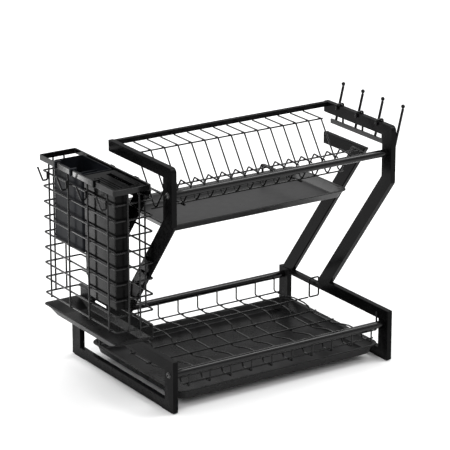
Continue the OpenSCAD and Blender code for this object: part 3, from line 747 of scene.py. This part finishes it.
# ---- cup holder: leaning prongs with soft tips, and hooks over the right frame ----
PRONG_COUNT, PRONG_PITCH = 4, 54
PRONG_R = 2.2
PRONG_LEAN = 0.245      # how far a prong leans out for each millimetre it rises
PRONG_TOP_X, PRONG_TOP_Z = HALF_W + 21.5, 421
PRONG_Y = [UPPER_D / 2 + y for y in row(PRONG_COUNT, PRONG_PITCH)]
BAR_LO, BAR_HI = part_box("cup_holder_bar")
bar_low = mm(BAR_LO.z)
prong_foot_x = PRONG_TOP_X - PRONG_LEAN * (PRONG_TOP_Z - bar_low)
bm = bmesh.new()
for y in PRONG_Y:
    foot, tip = (prong_foot_x, y, bar_low), (PRONG_TOP_X, y, PRONG_TOP_Z)
    straight(bm, foot, tip, PRONG_R, ALONG_Y, spans=6, sides=16)
add_wires(bm, "cup_prongs")

TIP_LO, TIP_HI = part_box("prong_tips")
TIP_R = (TIP_HI.z - TIP_LO.z) / 2 / MM
TIP_PROFILE = [(0.6 * TIP_R, -0.97 * TIP_R), (0.78 * TIP_R, -0.62 * TIP_R), (0.9 * TIP_R, -0.43 * TIP_R)]
for degrees in range(-24, 85, 9):
    TIP_PROFILE.append((TIP_R * math.cos(math.radians(degrees)), TIP_R * math.sin(math.radians(degrees))))
bm = bmesh.new()
for y in PRONG_Y:
    centre = Vector((TIP_HI.x - TIP_R * MM, place(0, y, 0).y, (TIP_LO.z + TIP_HI.z) / 2))
    lathe(bm, centre, ALONG_Z, TIP_PROFILE, segments=32)
add_piece(bm, "prong_tips", "moulded", "black_rubber", smooth_to=50.0)

HOLD_R = 1.8
HOLD_CLEAR = 0.4        # between the hooks and the frame's member
HOLD_LIP = 7
hold_top = FRAME_TOP + HOLD_CLEAR + HOLD_R
hold_out, hold_in = HALF_W + HOLD_CLEAR + HOLD_R, INNER_HALF_W - HOLD_CLEAR - HOLD_R
bm = bmesh.new()
for y in [UPPER_D / 2 + y for y in row(PRONG_COUNT - 1, PRONG_PITCH)]:
    hook = [(hold_out, y, mm(BAR_HI.z) + GAP), (hold_out, y, hold_top), (hold_in, y, hold_top),
            (hold_in, y, FRAME_TOP - HOLD_LIP)]
    bent(bm, hook, HOLD_R, ALONG_Y, bend=2.4)
add_wires(bm, "cup_holder_hooks")

# ---------------------------------------------------------------- stage, lights and camera, in metres
FLOOR_HALF = 14.0
FLOOR_DROP = 0.0002     # keeps the floor clear of the foot pads' underside
bm = bmesh.new()
bmesh.ops.create_grid(bm, x_segments=4, y_segments=4, size=FLOOR_HALF)
me = bpy.data.meshes.new("floor")
bm.to_mesh(me)
bm.free()
floor = bpy.data.objects.new("floor", me)
floor.location.z = -FLOOR_DROP
bpy.context.scene.collection.objects.link(floor)
PAPER_DARK, PAPER_LIGHT = (0.93, 0.93, 0.93), (0.95, 0.95, 0.95)
paper, nt, bsdf = node_tree("floor_paper")
coord = nt.nodes.new("ShaderNodeTexCoord").outputs["Object"]
nt.links.new(mix(nt, noise(nt, coord, 0.8), PAPER_DARK, PAPER_LIGHT), bsdf.inputs["Base Color"])
bsdf.inputs["Roughness"].default_value = 0.95
bsdf.inputs["Specular IOR Level"].default_value = 0.1
floor.data.materials.append(paper)
floor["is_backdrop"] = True

# the sky is dim at the horizon and bright overhead
SKY_STRENGTH = (0.4, 1.6)
SKY_BAND = (0.3, 0.7)   # heights between which it brightens
world = bpy.data.worlds.new("studio")
bpy.context.scene.world = world
world.use_nodes = True
wt = world.node_tree
sky = wt.nodes["Background"]
up = wt.nodes.new("ShaderNodeSeparateXYZ")
wt.links.new(wt.nodes.new("ShaderNodeTexCoord").outputs["Generated"], up.inputs["Vector"])
wt.links.new(remap(wt, up.outputs["Z"], SKY_BAND, SKY_STRENGTH), sky.inputs["Strength"])
sky.inputs["Color"].default_value = (1, 1, 1, 1)


def area(name, location, target, width, height, power):
    """A soft rectangular light at location that faces target, in metres and watts."""
    light = bpy.data.lights.new(name, "AREA")
    light.shape = "RECTANGLE"
    light.size = width
    light.size_y = height
    light.energy = power
    ob = bpy.data.objects.new(name, light)
    ob.location = location
    ob.rotation_euler = (Vector(target) - Vector(location)).to_track_quat("-Z", "Y").to_euler()
    bpy.context.scene.collection.objects.link(ob)
    return ob


CENTRE = (0.0, 0.0, 0.2)
area("rail_light", (1.25, -0.48, 2.2), CENTRE, width=0.7, height=0.8, power=16)
area("edge_light", (-0.78, 2.06, 1.6), CENTRE, width=1.6, height=1.0, power=14)
# a narrow strip beside the basket, hidden from the camera, gives the block's face its pale upright reflection
BLOCK_FACE = (-0.24, -0.04, 0.25)
strip = area("basket_strip", (-0.41, 0.29, 0.16), BLOCK_FACE, width=0.03, height=0.34, power=0.3)
strip.visible_camera = False

AZIMUTH, ELEVATION, DISTANCE = math.radians(-33.17), math.radians(18.57), 3.82536
AIM = place(-114.34, 0, 292.52)
back = Vector((math.sin(AZIMUTH) * math.cos(ELEVATION), -math.cos(AZIMUTH) * math.cos(ELEVATION),
               math.sin(ELEVATION)))
lens = bpy.data.cameras.new("camera")
lens.lens = 200
lens.sensor_width = 36
lens.clip_start = 0.05
lens.clip_end = 60
cam = bpy.data.objects.new("camera", lens)
cam.location = AIM + back * DISTANCE
cam.rotation_mode = "QUATERNION"
cam.rotation_quaternion = (-back).to_track_quat("-Z", "Y")
bpy.context.scene.collection.objects.link(cam)
bpy.context.scene.camera = cam

bpy.context.scene.view_settings.view_transform = "Standard"

lo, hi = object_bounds()
